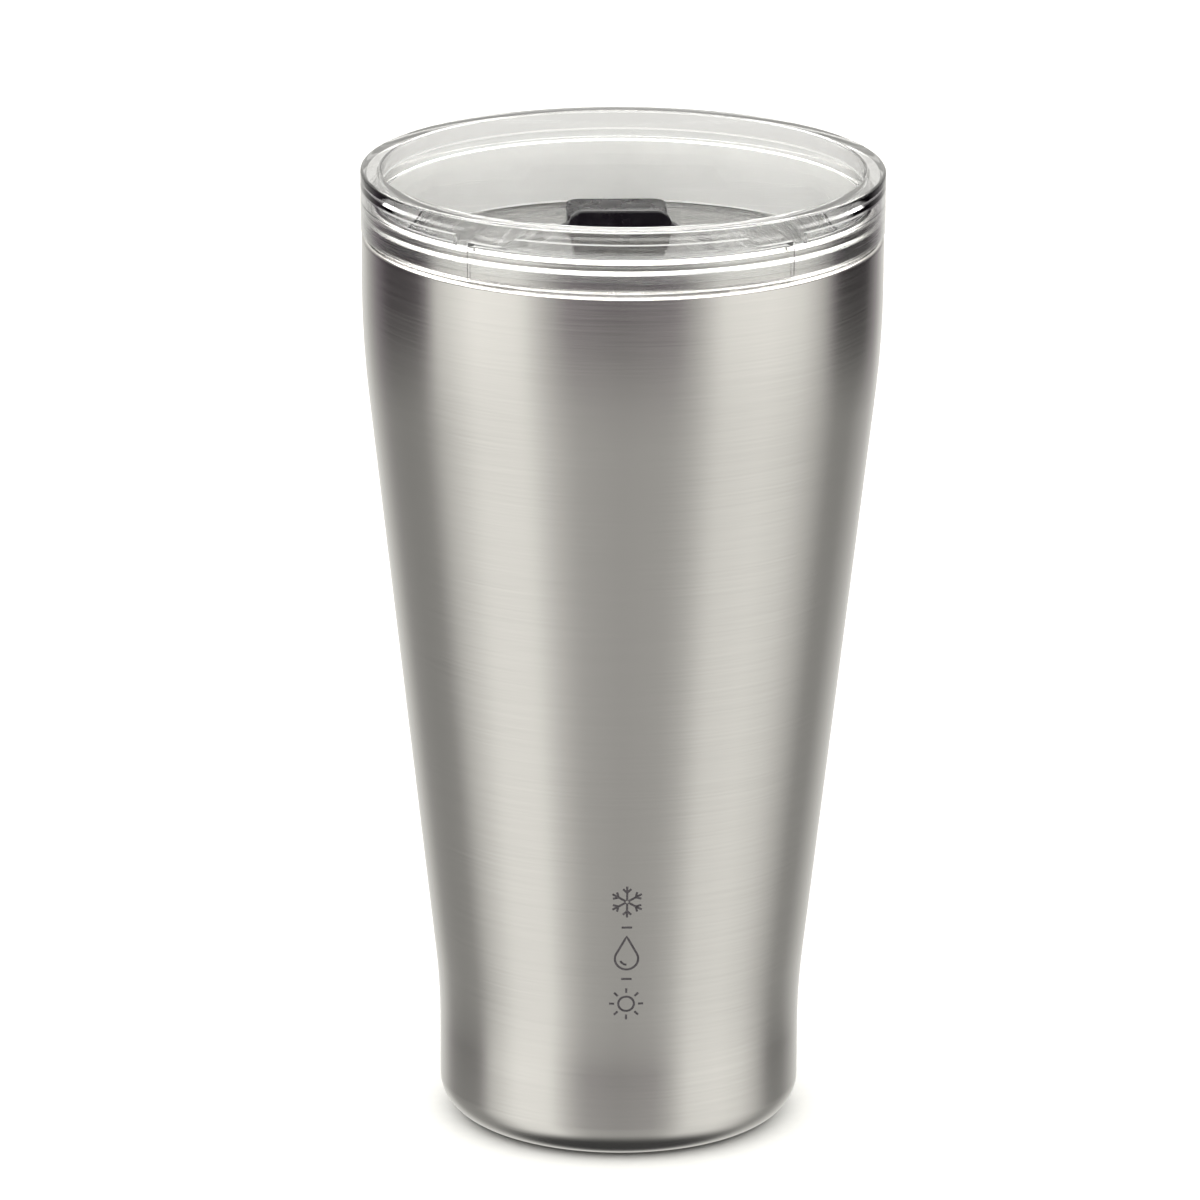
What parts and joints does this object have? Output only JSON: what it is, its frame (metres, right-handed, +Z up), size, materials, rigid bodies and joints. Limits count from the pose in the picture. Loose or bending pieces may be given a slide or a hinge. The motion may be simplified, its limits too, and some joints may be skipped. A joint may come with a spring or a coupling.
{
  "type": "insulated tumbler with lid",
  "caption": "Tapered double-wall stainless tumbler with a clear press-in lid, a silicone seal and a black sliding closure over the drinking hole.",
  "frame": {"origin": "centre of the foot ring that the tumbler stands on, at the surface under it", "axes": "+Z up along the tumbler's axis; +Y towards the drinking hole at the back; +X to the right when seen from the front"},
  "size_m": [0.09, 0.09, 0.1696],
  "materials": {
    "brushed_shell": "fine circumferential brushing, satin",
    "liner_steel": "electropolished, satin",
    "base_steel": "stamped and satin",
    "seal_glass": "fused dark solder glass",
    "getter_metal": "sintered, matt",
    "clear_plastic": "clear polished copolyester",
    "silicone": "translucent white, matt",
    "black_plastic": "gloss with softened edges"
  },
  "bodies": {
    "cup": {"outer_shell": "brushed_shell", "inner_liner": "liner_steel", "outer_base": "base_steel", "base_cover": "base_steel", "evacuation_seal": "seal_glass", "getter_pill": "getter_metal", "getter_strap": "getter_metal"},
    "lid": {"lid_body": "clear_plastic", "lid_gasket": "silicone"},
    "closure": {"slider": "black_plastic", "slider_seal": "silicone", "slider_clip": "black_plastic"}
  },
  "joints": [
    {"name": "lid_lift", "type": "slide", "parent": "cup", "child": "lid", "axis": [0, 0, 1], "range_m": [0, 0.05]},
    {"name": "closure_slide", "type": "slide", "parent": "lid", "child": "closure", "axis": [0, -1, 0], "range_m": [0, 0.015]}
  ]
}
